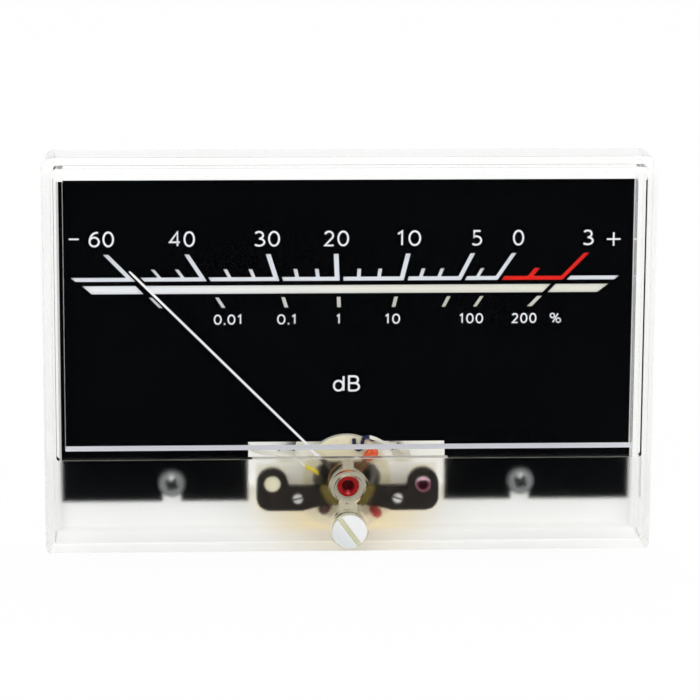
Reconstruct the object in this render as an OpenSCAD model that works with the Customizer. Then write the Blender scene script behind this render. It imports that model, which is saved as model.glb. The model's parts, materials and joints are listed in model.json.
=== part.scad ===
// Edgewise-wide analog level meter: clear front cover with a raised window and a
// frosted lower band, backlit slotted dial, core-magnet moving-coil movement.
// X is right, -Y is the front, +Z is up. The origin lies at the bottom middle of
// the cover's front face (the face that seats behind a panel).

/* [Cover] */
// Outside width of the cover and of the case lip
cover_width = 97; // [90:0.5:110]
// Outside height of the cover and of the case lip
cover_height = 64; // [60:0.5:76]
// Depth from the seat face to the back of the case lip
skirt_depth = 10.2; // [10.2:0.1:12]
// How far the window stands proud of the seat face
window_raise = 3; // [1.5:0.1:5]
// Wall of the cover
cover_wall = 1.4; // [1:0.1:1.8]
// Front wall of the window
window_wall = 0.9; // [0.7:0.1:1.4]
// Height of the window's lower outside edge above the bottom
band_height = 16; // [15.4:0.1:17]
// Seat face left free at each side of the window
side_margin = 2; // [1.5:0.1:4]
// Seat face left free above the window
top_margin = 1.2; // [0.8:0.1:3]

/* [Case] */
// Depth from the seat face to the back of the rear case
case_depth = 30; // [29.6:0.2:36]
// Height of the rear body
body_height = 58; // [52:0.5:60]
// Width of the rear body
body_width = 88; // [80:0.5:92]
// Wall of the rear body
case_wall = 1.6; // [1.2:0.1:2]

/* [Dial] */
// Dial front plane behind the seat face
dial_y = 10; // [9.9:0.05:10.2]
// Dial width
dial_width = 92.2; // [86:0.2:105]
// Height of the dial's lower edge
dial_bottom = 5.96; // [5:0.05:7]
// Height of the dial's upper edge
dial_top = 58.75; // [54:0.25:58.75]
// Thickness of the black mask
mask_thick = 0.25; // [0.2:0.05:0.3]
// Thickness of the translucent sheet behind the mask
sheet_thick = 0.5; // [0.4:0.05:0.6]
// Width of the cut-out round the movement
cutout_width = 31.9; // [31:0.1:36]
// Height of the cut-out's top edge
cutout_top = 15.75; // [15.6:0.05:16]
// Half spacing of the two dial screws
dial_screw_x = 28.35; // [24:0.1:38]
// Height of the dial screws
dial_screw_z = 9.2; // [8.6:0.1:10]

/* [Scale] */
// Height at which the scale lines would meet
scale_center_z = 7; // [5:0.5:10]
// Top of the long scale lines
major_top = 46.75; // [44:0.25:50]
// Top of the short scale lines
minor_top = 44.3; // [43.5:0.1:46]
// Top edge of the upper scale bar
bar_top = 43.0; // [42.5:0.1:43.4]
// Bottom edge of the upper scale bar
bar_bottom = 42.3; // [42:0.1:42.4]
// Top edge of the lower scale bar
band_top = 41.65; // [41:0.05:41.8]
// Bottom edge of the lower scale bar
band_low = 40.25; // [39.9:0.05:40.6]
// Width of a long scale line
major_line = 0.8; // [0.5:0.05:1]
// Width of a short scale line
minor_line = 0.62; // [0.4:0.02:0.8]

/* [Movement] */
// Height of the pointer's pivot axis
pivot_z = 10; // [9.8:0.1:10.4]
// Pointer length from the pivot
pointer_length = 49.1; // [30:0.1:50]
// Pointer angle left of vertical at rest
rest_angle = 45.3; // [40:0.1:46]
// Width of the pointer blade
pointer_width = 0.36; // [0.3:0.02:0.6]
// Radius of the core magnet
core_radius = 4.2; // [3.8:0.05:4.2]
// Inside radius of the soft-iron ring
yoke_inner = 6.4; // [6.35:0.05:6.6]
// Outside radius of the soft-iron ring
yoke_outer = 7.5; // [7.2:0.05:7.6]
// Radius of the cream collar in front of the dial
collar_radius = 7.1; // [6.9:0.05:7.3]
// Number of turns of each hairspring
spring_turns = 4; // [3:1:4]
// Thickness of the hairspring strip
spring_strip = 0.12; // [0.08:0.01:0.14]

/* [Zero adjuster] */
// Height of the adjuster's axis
adjuster_z = 3.9; // [3.9:0.05:4.1]
// Diameter of the adjuster's head
adjuster_head = 5.5; // [4.6:0.1:6]
// Offset of the adjuster's pin from its axis
pin_offset = 1.2; // [1:0.05:1.2]
// Radius of the adjuster's pin
pin_radius = 0.55; // [0.5:0.01:0.58]

/* [Terminals] */
// Half spacing of the terminal studs
stud_x = 20; // [16:0.5:30]
// Height of the terminal studs
stud_z = 26; // [24:0.5:36]
// Diameter of the studs' free ends
stud_diameter = 2.8; // [2.5:0.1:4]

/* [Hidden] */

$fn = 64;
eps = 0.05;                       // overlap used only to cut cleanly
half_w = cover_width/2;
corner_top = 2;                   // outline corners
corner_low = 0.8;
lip_front = skirt_depth - 1.6;    // the cover ends on the case lip
tray_back = skirt_depth + 2;
dial_front = dial_y;
sheet_front = dial_y + mask_thick;
dial_back = sheet_front + sheet_thick;
half_dial = dial_width/2;
half_body = body_width/2;
window_half = half_w - side_margin;
window_top = cover_height - top_margin;
dial_gap = 0.3;                   // room round the dial in its recess
lip_opening = half_dial + dial_gap;

// screws of the dial
dial_head_r = 2.25;
dial_head_h = 1.8;
screw_core = 1.2;
slot_half = 1.5;
fit = 0.05;                       // radial play of a close fit

// movement, all measured along Y from the seat face
bridge_front = 4.8;
bridge_thick = 1.2;
bridge_back = bridge_front + bridge_thick;
wing_front = 9.0;
wing_back = 10.6;
wing_half = 14.7;
wing_low = 5.1;
wing_high = 12.2;
low_wall_top = 8;
collar_front = 8.6;
collar_back = dial_y - 0.25;
collar_plate = 0.6;               // its front wall, with an opening for the hub
opening_half = 5.5;
opening_r = 2.8;
drum_front = dial_y + 1.25;
drum_back = 21.6;
drum_radius = yoke_outer + 0.7;
arch_r = drum_radius + 0.35;      // arch in the case's low wall, over the drum
apron_r = arch_r + 0.35;          // round apron that covers the arch
apron_low = case_wall + 0.15;
coil_bore = yoke_inner - 0.1;
yoke_front = 11.4;
yoke_back = 20.4;
ear_x = 12.15;
ear_r = 2.55;
ear_hole = 1.35;
ear_screw_r = 0.78;
ear_head_r = 1.25;
pillar_x = 8.05;
pillar_dz = -2.3;
pillar_r = 1.1;
pillar_screw_r = 0.7;
pillar_head_r = 0.95;
boss_r = 2.6;
jewel_r = 1.75;
jewel_neck = 1.25;
cup_r = 0.25;
pivot_r = 0.2;

// moving coil
former_half = 4.65;
former_wall = 0.25;
former_reach = 1.5;
coil_reach = 1.2;
coil_depth = 1.0;
former_front = yoke_front - 0.95;
former_back = yoke_back + 0.75;
coil_front = former_front - 0.7;
coil_back = former_back + 0.7;
hub_r = 0.9;
collet_r = 0.7;
blade_front = 7.3;
blade_thick = 0.15;
arm_reach = 5.7;                  // centre of a side weight
tail_reach = 7.2;                 // centre of the tail weight
right_turn = 86;                  // directions of the arms from the pointer, degrees
left_turn = -97;
tail_turn = 184;
tail_half = 0.8;                  // half lengths of the weights
right_half = 1.0;
left_half = 0.93;
bead_r = 0.72;
blade_shift = 0.4;
arm_half = 0.26;
lacquer_r = 0.85;                 // room that a lacquered weight needs at the stops
over_travel = 3;                  // degrees the pointer may go below its rest
sweep = 95;                       // degrees from rest to the far end

// hairsprings
spring_inner = 0.75;
spring_outer = 3.2;
tab_reach = spring_outer + spring_strip/2;
spring_height = 0.5;
front_spring_y = 6.35;
rear_spring_y = 22.55;
tab_thick = 0.7;

// rear bridge
rear_bridge_front = 23.4;
rear_bridge_thick = 1.2;
rear_bridge_back = rear_bridge_front + rear_bridge_thick;
rear_post_x = 9.4;
rear_post_r = 1.6;
rear_screw_r = 0.68;
arm_plate = 0.5;

// zero lever and adjuster
lever_front = 3.85;
lever_back = 4.6;
lever_outer = 2.9;
boss_proud = 1.0;
boss_upper_r = 3.3;
boss_lower_r = 3.2;
adjuster_shaft = 1.6;
head_thick = 1.6;
clip_thick = 0.6;
slot_play = 0.11;

// case fittings
post_r = 2.8;
frame_post_x = 11;
frame_post_z = 5.2;
frame_post_r = 2.6;
frame_lug_front = 19.4;
frame_lug_back = 22;
frame_head_r = 2.2;
frame_head_sink = 0.9;
rear_wall_front = case_depth - case_wall;
lamp_y = 24;
lamp_z0 = min(46, body_height - 12);
lamp_half = 36;
lamp_post_x = 33;
lamp_pin_x = 30;
lamp_pin_r = 0.5;
board_thick = 1.2;
lamp_shank_r = lamp_pin_r + 0.35;
stud_r = stud_diameter/2;
shank_r = stud_r + 0.35;          // the clamped stretch of a stud
stud_tip = rear_wall_front - 3.2;
washer_back = case_depth + 0.6;
lug_back = case_depth + 1.4;
nut_back = case_depth + 3.8;
lug_half = 1.6;
lug_reach = 9;

// ---------- helpers ----------
// a true cylinder along Y from y0 to y1
module ycyl(r, y0, y1, x = 0, z = 0) {
  translate([x, y0, z]) rotate([-90, 0, 0]) cylinder(r = r, h = y1 - y0);
}
// a flat outline in X and Z made solid from y0 to y1
module slab(y0, y1) {
  translate([0, y1, 0]) rotate([90, 0, 0]) linear_extrude(y1 - y0) children();
}
module box(x0, x1, y0, y1, z0, z1) {
  translate([x0, y0, z0]) cube([x1 - x0, y1 - y0, z1 - z0]);
}
module outline(half, z0, z1, rt, rb) {
  translate([-half, z0 + rb]) square([2*half, z1 - z0 - rt - rb]);
  translate([-half + rb, z0]) square([2*(half - rb), z1 - z0 - rt]);
  translate([-half + rt, z0 + rb]) square([2*(half - rt), z1 - z0 - rb]);
  for (s = [-1, 1]) {
    translate([s*(half - rt), z1 - rt]) circle(r = rt);
    translate([s*(half - rb), z0 + rb]) circle(r = rb);
  }
}
// turns its children with the pointer about the pivot axis, zero is straight up
module at_pointer(a) {
  translate([0, 0, pivot_z]) rotate([0, a, 0]) children();
}
module both() { for (s = [0, 1]) mirror([s, 0, 0]) children(); }
module pair(dx, z = 0) { for (s = [-1, 1]) translate([s*dx, 0, z]) children(); }

// an unbroken round tube along a list of points; side is a direction that the
// route never runs along
function unit(v) = v/norm(v);
function ring(p, i, r, side, n) =
  let (t = unit(p[min(i + 1, len(p) - 1)] - p[max(i - 1, 0)]), u = unit(cross(t, side)), v = cross(t, u))
  [for (j = [0 : n - 1]) p[i] + r*(cos(360*j/n)*u + sin(360*j/n)*v)];
module wire(p, r, side, n = 10) {
  last = len(p) - 1;
  skin = [for (i = [0 : last - 1], j = [0 : n - 1])
    let (a = i*n + j, b = i*n + (j + 1)%n, c = (i + 1)*n + (j + 1)%n, d = (i + 1)*n + j)
    each [[a, d, c], [a, c, b]]];
  polyhedron(
    points = [for (i = [0 : last]) each ring(p, i, r, side, n)],
    faces = concat([[for (j = [0 : n - 1]) j]], skin, [[for (j = [n - 1 : -1 : 0]) last*n + j]]));
}
// points of a smooth curve that passes through all the given points
function bend_point(p, i, t) =
  let (a = p[max(i - 1, 0)], b = p[i], c = p[i + 1], d = p[min(i + 2, len(p) - 1)])
  0.5*(2*b + (c - a)*t + (2*a - 5*b + 4*c - d)*t*t + (3*b - a - 3*c + d)*t*t*t);
function smooth(p, steps) = concat(
  [for (i = [0 : len(p) - 2], k = [0 : steps - 1]) bend_point(p, i, k/steps)],
  [p[len(p) - 1]]);

// ---------- hairspring strip ----------
spring_steps = 40;
function spiral_r(t) = spring_inner + (spring_outer - spring_inner)*t/spring_turns;
function spiral_pt(t, side) = (spiral_r(t) + side*spring_strip/2)*[sin(360*t), cos(360*t)];
spiral_outer = [for (k = [0 : spring_turns*spring_steps]) spiral_pt(k/spring_steps, 1)];
spiral_inner = [for (k = [spring_turns*spring_steps : -1 : 0]) spiral_pt(k/spring_steps, -1)];
spiral_gap = min([for (k = [0 : (spring_turns - 1)*spring_steps])
  norm(spiral_pt(k/spring_steps + 1, -1)) - norm(spiral_pt(k/spring_steps, 1))]);
echo(least_gap_between_hairspring_turns_mm = spiral_gap);
module spiral_strip(y0) {
  translate([0, 0, pivot_z]) slab(y0, y0 + spring_height) polygon(concat(spiral_outer, spiral_inner));
}

// ---------- case ----------
module rear_case() color([0.93, 0.93, 0.91]) difference() {
  union() {
    difference() {
      union() {
        slab(lip_front, skirt_depth) outline(half_w, 0, cover_height, corner_top, corner_low);
        slab(skirt_depth - eps, tray_back) outline(half_w - 0.9, 0, cover_height - 1.2, corner_top, corner_low);
        slab(tray_back - eps, case_depth) outline(half_body, 0, body_height, corner_top, corner_low);
      }
      // recess that takes the dial
      slab(lip_front - eps, dial_back) translate([-lip_opening, case_wall])
        square([2*lip_opening, dial_top + dial_gap - case_wall]);
      // light chamber
      slab(lip_front - eps, rear_wall_front) translate([-half_body + case_wall, case_wall])
        square([2*(half_body - case_wall), body_height - 2*case_wall]);
    }
    // posts for the dial, for the movement and for the lamp board
    pair(dial_screw_x, dial_screw_z) ycyl(post_r, dial_back, rear_wall_front + eps);
    pair(frame_post_x, frame_post_z) ycyl(frame_post_r, frame_lug_back, rear_wall_front + eps);
    pair(lamp_post_x, lamp_z0 + 4) ycyl(1.6, lamp_y + board_thick, rear_wall_front + eps);
    // low wall behind the dial's lower edge, arched over the drum of the movement
    slab(dial_back, tray_back - eps) difference() {
      translate([-half_body + case_wall - eps, case_wall - eps])
        square([2*(half_body - case_wall + eps), low_wall_top - case_wall]);
      translate([0, pivot_z]) circle(r = arch_r);
    }
    // ribs from the dial posts down to the floor
    pair(dial_screw_x) box(-0.6, 0.6, dial_back + 1, rear_wall_front + eps, case_wall - eps, dial_screw_z - 2);
  }
  pair(dial_screw_x, dial_screw_z) ycyl(screw_core + fit, dial_back - eps, dial_back + 8);
  pair(frame_post_x, frame_post_z) {
    ycyl(screw_core + fit, frame_lug_back - 0.1, case_depth + eps);
    ycyl(frame_head_r + 0.2, case_depth - frame_head_sink, case_depth + eps);
  }
  pair(stud_x, stud_z) ycyl(shank_r + fit, rear_wall_front - eps, case_depth + eps);
  pair(lamp_pin_x, lamp_z0 + 4) ycyl(lamp_shank_r + 0.1, rear_wall_front - eps, case_depth + eps);
}

module boss_outline(grow) {
  translate([0, pivot_z + 0.2]) circle(r = boss_upper_r + grow);
  translate([0, adjuster_z]) circle(r = boss_lower_r + grow);
  translate([-1.9 - grow, adjuster_z]) square([3.8 + 2*grow, pivot_z - adjuster_z]);
}
module front_cover() color([0.86, 0.92, 0.95, 0.35]) difference() {
  union() {
    slab(0, lip_front) outline(half_w, 0, cover_height, corner_top, corner_low);
    slab(-window_raise, eps) outline(window_half, band_height, window_top, 0.5, 0.5);
    slab(-boss_proud, eps) boss_outline(0);
  }
  // inside of the skirt
  slab(cover_wall, lip_front + eps) outline(half_w - cover_wall, cover_wall, cover_height - cover_wall, 0.9, 0.4);
  // inside of the window
  slab(-window_raise + window_wall, cover_wall + eps)
    translate([-window_half + cover_wall, band_height + cover_wall])
    square([2*(window_half - cover_wall), window_top - band_height - 2*cover_wall]);
  // hollow of the lens over the jewel
  ycyl(boss_upper_r - 0.9, -boss_proud + 0.8, cover_wall + eps, 0, pivot_z + 0.2);
  ycyl(adjuster_shaft + fit, -boss_proud - eps, cover_wall + eps, 0, adjuster_z);
}

// ---------- dial ----------
module dial_outline() difference() {
  translate([-half_dial, dial_bottom]) square([dial_width, dial_top - dial_bottom]);
  translate([-cutout_width/2, dial_bottom - 1]) square([cutout_width, cutout_top - dial_bottom + 1]);
  pair2(dial_screw_x) {
    translate([-slot_half, dial_bottom - 1]) square([2*slot_half, dial_screw_z - dial_bottom + 1]);
    translate([0, dial_screw_z]) circle(r = slot_half);
  }
}
module pair2(dx) { for (s = [-1, 1]) translate([s*dx, 0]) children(); }

// a scale line that leans toward the scale centre, t is its slope
module scale_line(t, z0, z1, w) {
  x0 = t*(z0 - scale_center_z);
  x1 = t*(z1 - scale_center_z);
  polygon([[x0 - w/2, z0], [x0 + w/2, z0], [x1 + w/2, z1], [x1 - w/2, z1]]);
}
// slopes of the lines, left to right
major_slopes = [-0.974, -0.648, -0.319, -0.0445, 0.2477, 0.5096, 0.677, 0.973];
minor_slopes = [-0.8374, -0.7338, -0.5249, -0.417, -0.2234, -0.1307, 0.0527, 0.1436,
                0.3307, 0.4127, 0.5865, 0.8235];
lower_slopes = [-0.966, -0.6405, -0.3147, -0.041, 0.2428, 0.503, 0.6667, 0.9523];
line_gap = 0.6;                   // black gap after each long line
first_gap = 1.4;                  // the same after the first line
last_gap = 0.75;                  // gap in the lower bar at its last line
line_lap = 0.05;                  // each long line reaches this far into its gap
lower_tick_top = 39.7;
lower_tick_low = 37.95;
bar_left = 44.35;                 // ends of the upper bar at its top edge
bar_right = 44;
bar_slant = 0.8;                  // how far each end leans in
band_left = 42.58;                // the same for the lower bar
band_right = 42.33;
band_slant_left = 1.6;
band_slant_right = 1.87;
function long_line(t) = abs(t) > 0.9 ? major_line + 0.12 : major_line;
module bar(x0, x1, top, low, lean0, lean1)
  polygon([[x0, top], [x1, top], [x1 - lean1, low], [x0 + lean0, low]]);

module scale_windows() {
  // upper bar, cut by a gap to the right of each long line
  difference() {
    bar(-bar_left, bar_right, bar_top, bar_bottom, bar_slant, bar_slant);
    for (k = [0 : len(major_slopes) - 1]) {
      gap = k == 0 ? first_gap : line_gap;
      translate([long_line(major_slopes[k])/2 + gap/2 - line_lap/2, 0])
        scale_line(major_slopes[k], bar_bottom - 1, bar_top + 1, gap + line_lap);
    }
  }
  for (t = major_slopes) scale_line(t, bar_bottom + line_lap, major_top, long_line(t));
  for (t = minor_slopes) scale_line(t, bar_bottom + 0.1, minor_top, t > 0.8 ? 0.95 : minor_line);
  // lower bar, cut at its first and last lines
  difference() {
    bar(-band_left, band_right, band_top, band_low, band_slant_left, band_slant_right);
    scale_line(-0.96, band_low - 1, band_top + 1, first_gap);
    scale_line(0.9615, band_low - 1, band_top + 1, last_gap);
  }
  for (t = lower_slopes) scale_line(t, lower_tick_low, lower_tick_top, t > 0.9 ? 0.85 : minor_line);
}
module dial_sheet() color([0.94, 0.95, 0.97]) slab(sheet_front, dial_back) dial_outline();
module dial_mask() color([0.02, 0.02, 0.025]) slab(dial_front, sheet_front) difference() {
  dial_outline();
  scale_windows();
}
module dial_screws() color([0.62, 0.63, 0.65]) pair(dial_screw_x, dial_screw_z) difference() {
  union() {
    ycyl(screw_core, dial_front - eps, dial_back + 7.4);
    ycyl(dial_head_r, dial_front - dial_head_h*0.45, dial_front);
    // domed top
    intersection() {
      translate([0, dial_front + 0.95, 0]) sphere(r = 2.9);
      ycyl(dial_head_r, dial_front - 3, dial_front - dial_head_h*0.45 + eps);
    }
  }
  // cross recess
  for (a = [30, 120]) rotate([0, a, 0]) box(-1.15, 1.15, dial_front - 3, dial_front - 0.9, -0.28, 0.28);
}

// ---------- fixed part of the movement ----------
module movement_frame() color([0.90, 0.86, 0.74]) difference() {
  union() {
    ycyl(collar_radius, collar_front, drum_front + eps, 0, pivot_z);
    ycyl(drum_radius, drum_front, drum_back, 0, pivot_z);
    box(-wing_half, wing_half, wing_front, wing_back, wing_low, wing_high);
    slab(wing_front, wing_back) intersection() {
      translate([0, pivot_z]) circle(r = apron_r);
      translate([-apron_r, apron_low]) square([2*apron_r, wing_high - apron_low]);
    }
    // posts behind the ears of the front bridge, the left one ends in a peg
    pair(ear_x, pivot_z) ycyl(2.2, bridge_back, wing_front + eps);
    ycyl(ear_hole - fit, bridge_front + 0.25, bridge_back + eps, -ear_x, pivot_z);
    // lugs that take the frame screws and the rear bridge
    both() box(6.9, frame_post_x + frame_post_r, frame_lug_front, frame_lug_back, frame_post_z - frame_post_r, frame_post_z + frame_post_r);
    both() box(7.3, rear_post_x + rear_post_r, 17.5, drum_back, pivot_z - rear_post_r, pivot_z + rear_post_r);
    pair(rear_post_x, pivot_z) ycyl(rear_post_r, drum_back - eps, rear_bridge_front);
  }
  ycyl(coil_bore, collar_front + collar_plate, yoke_front + eps, 0, pivot_z);
  slab(collar_front - eps, yoke_front) translate([0, pivot_z]) {
    square([2*(opening_half - opening_r), 2*opening_r], center = true);
    pair2(opening_half - opening_r) circle(r = opening_r);
  }
  ycyl(yoke_outer, yoke_front, frame_lug_back + eps, 0, pivot_z);
  // flat that lets the dial slide down past the collar
  box(-20, 20, collar_back, drum_front, cutout_top - 0.15, 30);
  ycyl(ear_screw_r + 0.02, bridge_back - eps, wing_back, ear_x, pivot_z);
  pair(pillar_x, pivot_z + pillar_dz) ycyl(pillar_screw_r + fit, wing_front - eps, wing_back + eps);
  pair(frame_post_x, frame_post_z) ycyl(screw_core, frame_lug_front - eps, frame_lug_back + eps);
  pair(rear_post_x, pivot_z) ycyl(rear_screw_r + 0.02, 19, rear_bridge_front + eps);
}
module yoke_ring() color([0.30, 0.29, 0.28]) difference() {
  ycyl(yoke_outer, yoke_front, yoke_back, 0, pivot_z);
  ycyl(yoke_inner, yoke_front - eps, yoke_back + eps, 0, pivot_z);
}
module core_magnet() color([0.22, 0.21, 0.19]) ycyl(core_radius, yoke_front, yoke_back, 0, pivot_z);
module core_webs() color([0.70, 0.70, 0.70]) difference() {
  intersection() {
    box(-1, 1, yoke_front + 0.8, yoke_back - 0.8, pivot_z - 10, pivot_z + 10);
    ycyl(yoke_inner, yoke_front, yoke_back, 0, pivot_z);
  }
  ycyl(core_radius, yoke_front, yoke_back, 0, pivot_z);
}
module bridge_half() {
  low = pivot_z - 4.45;
  mid = pivot_z - 0.35;
  translate([ear_x, pivot_z]) circle(r = ear_r);
  translate([12.5, low + 2.2]) circle(r = 2.2);
  translate([12, low + 2.2]) square([2.7, 2.25]);
  // waist between the ear and the middle, with a sloping shoulder
  polygon([[0, low + 1.2], [4.6, low + 0.75], [7.2, low], [12.5, low], [12.5, pivot_z],
           [10.3, pivot_z + 1.1], [9.35, mid], [0, mid]]);
}
module front_bridge() color([0.17, 0.16, 0.15]) difference() {
  slab(bridge_front, bridge_back) {
    bridge_half();
    mirror([1, 0]) bridge_half();
    translate([0, pivot_z]) circle(r = boss_r);
  }
  ycyl(ear_hole, bridge_front - eps, bridge_back + eps, -ear_x, pivot_z);
  ycyl(ear_screw_r + fit, bridge_front - eps, bridge_back + eps, ear_x, pivot_z);
  pair(pillar_x, pivot_z + pillar_dz) ycyl(pillar_screw_r + fit, bridge_front - eps, bridge_back + eps);
  ycyl(jewel_neck + 0.02, bridge_front - eps, bridge_back + eps, 0, pivot_z);
}
module bridge_pillars() color([0.80, 0.66, 0.34]) pair(pillar_x, pivot_z + pillar_dz) difference() {
  ycyl(pillar_r, bridge_back, wing_front);
  ycyl(pillar_screw_r + fit, bridge_back - eps, wing_front + eps);
}
module pillar_screws() color([0.72, 0.72, 0.72]) pair(pillar_x, pivot_z + pillar_dz) difference() {
  union() {
    ycyl(pillar_head_r, bridge_front - 0.55, bridge_front);
    ycyl(pillar_screw_r, bridge_front - eps, wing_back - 0.3);
  }
  rotate([0, 62, 0]) box(-1.2, 1.2, bridge_front - 0.7, bridge_front - 0.25, -0.14, 0.14);
}
module ear_screw() color([0.62, 0.12, 0.20]) translate([ear_x, 0, pivot_z]) difference() {
  union() {
    ycyl(ear_head_r, bridge_front - 0.8, bridge_front);
    ycyl(ear_screw_r, bridge_front - eps, wing_back - 0.2);
  }
  for (a = [0, 90]) rotate([0, a + 15, 0]) box(-0.75, 0.75, bridge_front - 0.9, bridge_front - 0.35, -0.17, 0.17);
}
module front_jewel_screw() color([0.72, 0.06, 0.05]) translate([0, 0, pivot_z]) difference() {
  union() {
    ycyl(jewel_r, 3.3, bridge_front);
    ycyl(jewel_neck, bridge_front - eps, bridge_back);
  }
  ycyl(1.05, 3.2, 4.1);
  ycyl(0.45, 4.0, 4.5);
  ycyl(cup_r, 5.15, bridge_back + eps);
}
module rear_bridge() color([0.17, 0.16, 0.15]) difference() {
  slab(rear_bridge_front, rear_bridge_back) {
    translate([-rear_post_x, pivot_z - rear_post_r]) square([2*rear_post_x, 2*rear_post_r]);
    pair2(rear_post_x) translate([0, pivot_z]) circle(r = rear_post_r);
    translate([0, pivot_z]) circle(r = boss_r);
  }
  pair(rear_post_x, pivot_z) ycyl(rear_screw_r + 0.07, rear_bridge_front - eps, rear_bridge_back + eps);
  ycyl(jewel_neck + 0.02, rear_bridge_front - eps, rear_bridge_back + eps, 0, pivot_z);
}
module rear_bridge_screws() color([0.72, 0.72, 0.72]) pair(rear_post_x, pivot_z) difference() {
  union() {
    ycyl(1.3, rear_bridge_back, rear_bridge_back + 0.8);
    ycyl(rear_screw_r, 20, rear_bridge_back + eps);
  }
  box(-1.5, 1.5, rear_bridge_back + 0.4, rear_bridge_back + 1, -0.18, 0.18);
}
module rear_jewel_screw() color([0.80, 0.66, 0.34]) translate([0, 0, pivot_z]) difference() {
  union() {
    ycyl(jewel_neck, rear_bridge_front, rear_bridge_back + arm_plate + eps);
    ycyl(jewel_r, rear_bridge_back + arm_plate, rear_bridge_back + 1.7);
  }
  box(-2, 2, rear_bridge_back + 1.1, rear_bridge_back + 1.8, -0.22, 0.22);
  ycyl(cup_r, rear_bridge_front - eps, rear_bridge_front + 0.85);
}
module rear_spring_arm() color([0.84, 0.70, 0.36]) {
  difference() {
    union() {
      ycyl(2.3, rear_bridge_back, rear_bridge_back + arm_plate, 0, pivot_z);
      box(-0.6, 0.6, rear_bridge_back, rear_bridge_back + arm_plate, pivot_z + 1.8, pivot_z + tab_reach + tab_thick);
    }
    ycyl(jewel_neck + 0.02, rear_bridge_back - eps, rear_bridge_back + arm_plate + eps, 0, pivot_z);
  }
  box(-0.6, 0.6, rear_spring_y - 0.1, rear_bridge_back + eps, pivot_z + tab_reach, pivot_z + tab_reach + tab_thick);
}
module frame_screws() color([0.66, 0.66, 0.68]) pair(frame_post_x, frame_post_z) difference() {
  union() {
    ycyl(frame_head_r, case_depth - frame_head_sink, case_depth + 0.5);
    ycyl(screw_core - fit, 20, case_depth - frame_head_sink + eps);
  }
  for (a = [0, 90]) rotate([0, a + 20, 0]) box(-1.2, 1.2, case_depth - 0.2, case_depth + 0.6, -0.3, 0.3);
}
// two pins that stand just past the ends of the tail weight's travel
stop_r = 7.6;
stop_pin_r = 0.3;
stop_reach = asin(lacquer_r/(tail_reach - 0.4)) + asin(stop_pin_r/stop_r) + 0.8;
stop_low = tail_turn - rest_angle - over_travel - stop_reach;
stop_high = tail_turn - rest_angle + sweep + stop_reach;
module stop_pins() color([0.84, 0.70, 0.36])
  for (a = [stop_low, stop_high])
    ycyl(stop_pin_r, 7.0, wing_front, stop_r*sin(a), pivot_z + stop_r*cos(a));

// ---------- moving element, drawn at rest ----------
module at_rest() at_pointer(-rest_angle) children();
module coil_loop(half, y0, y1, r) {
  translate([-half, y0 + r]) square([2*half, y1 - y0 - 2*r]);
  translate([-half + r, y0]) square([2*(half - r), y1 - y0]);
  for (s = [-1, 1], y = [y0 + r, y1 - r]) translate([s*(half - r), y]) circle(r = r, $fn = 32);
}
module coil_former() color([0.75, 0.76, 0.77]) at_rest() difference() {
  box(-former_half - former_wall, former_half + former_wall, former_front, former_back, -former_reach, former_reach);
  box(-former_half, former_half, former_front + former_wall, former_back - former_wall, -former_reach - eps, former_reach + eps);
}
module coil_winding() color([0.42, 0.24, 0.10]) at_rest() difference() {
  translate([0, 0, -coil_reach]) linear_extrude(2*coil_reach)
    coil_loop(former_half + former_wall + coil_depth, coil_front, coil_back, 1.2);
  box(-former_half - former_wall, former_half + former_wall, former_front, former_back, -coil_reach - eps, coil_reach + eps);
}
module pointer_hub() color([0.78, 0.66, 0.38]) translate([0, 0, pivot_z]) {
  ycyl(hub_r, 7.05, coil_front);
  ycyl(collet_r, 6.2, 7.05 + eps);
  ycyl(hub_r, coil_back, 22.45);
  ycyl(collet_r, 22.45 - eps, 23.2);
}
module pivot_pins() color([0.75, 0.76, 0.78]) translate([0, 0, pivot_z]) {
  ycyl(pivot_r, 5.3, 6.2 + eps);
  ycyl(pivot_r, 23.2 - eps, 24.1);
}
module pointer() color([0.95, 0.95, 0.96]) at_rest() difference() {
  slab(blade_front, blade_front + blade_thick) {
    // the blade leans a little about its tip and passes left of the pivot
    translate([0, pointer_length]) rotate(-asin(blade_shift/pointer_length)) translate([0, -pointer_length])
      polygon([[-0.45, 0], [0.45, 0], [0.4, 5.5], [pointer_width/2, 8], [pointer_width/2, pointer_length - 1],
               [0.12, pointer_length], [-0.12, pointer_length], [-pointer_width/2, pointer_length - 1],
               [-pointer_width/2, 8], [-0.4, 5.5]]);
    circle(r = 1.5);
  }
  ycyl(hub_r, blade_front - eps, blade_front + blade_thick + eps);
}
module arm(turn, reach) rotate(-turn) translate([-arm_half, 0]) square([2*arm_half, reach]);
module balance_cross() color([0.78, 0.70, 0.50]) at_rest() difference() {
  slab(blade_front + blade_thick, blade_front + 2*blade_thick) {
    circle(r = 1.5);
    arm(right_turn, arm_reach + 0.8);
    arm(left_turn, arm_reach + 0.8);
    arm(tail_turn, tail_reach + 0.6);
  }
  ycyl(hub_r, blade_front + blade_thick - eps, blade_front + 2*blade_thick + eps);
}
// a bead of lacquered wire wound on an arm
module bead(reach, half, turn) rotate([0, turn, 0]) difference() {
  translate([0, blade_front + 1.5*blade_thick, reach - half]) cylinder(r = bead_r, h = 2*half, $fn = 32);
  box(-arm_half - 0.01, arm_half + 0.01, blade_front + blade_thick, blade_front + 2*blade_thick,
      reach - half - eps, reach + half + eps);
}
module tail_weight() color([0.62, 0.07, 0.06]) at_rest() bead(tail_reach, tail_half, tail_turn);
module right_weight() color([0.90, 0.26, 0.08]) at_rest() bead(arm_reach, right_half, right_turn);
module left_weight() color([0.24, 0.10, 0.09]) at_rest() bead(arm_reach, left_half, left_turn);
module front_hairspring() color([0.72, 0.50, 0.26]) spiral_strip(front_spring_y);
module rear_hairspring() color([0.72, 0.50, 0.26]) spiral_strip(rear_spring_y);

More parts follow.
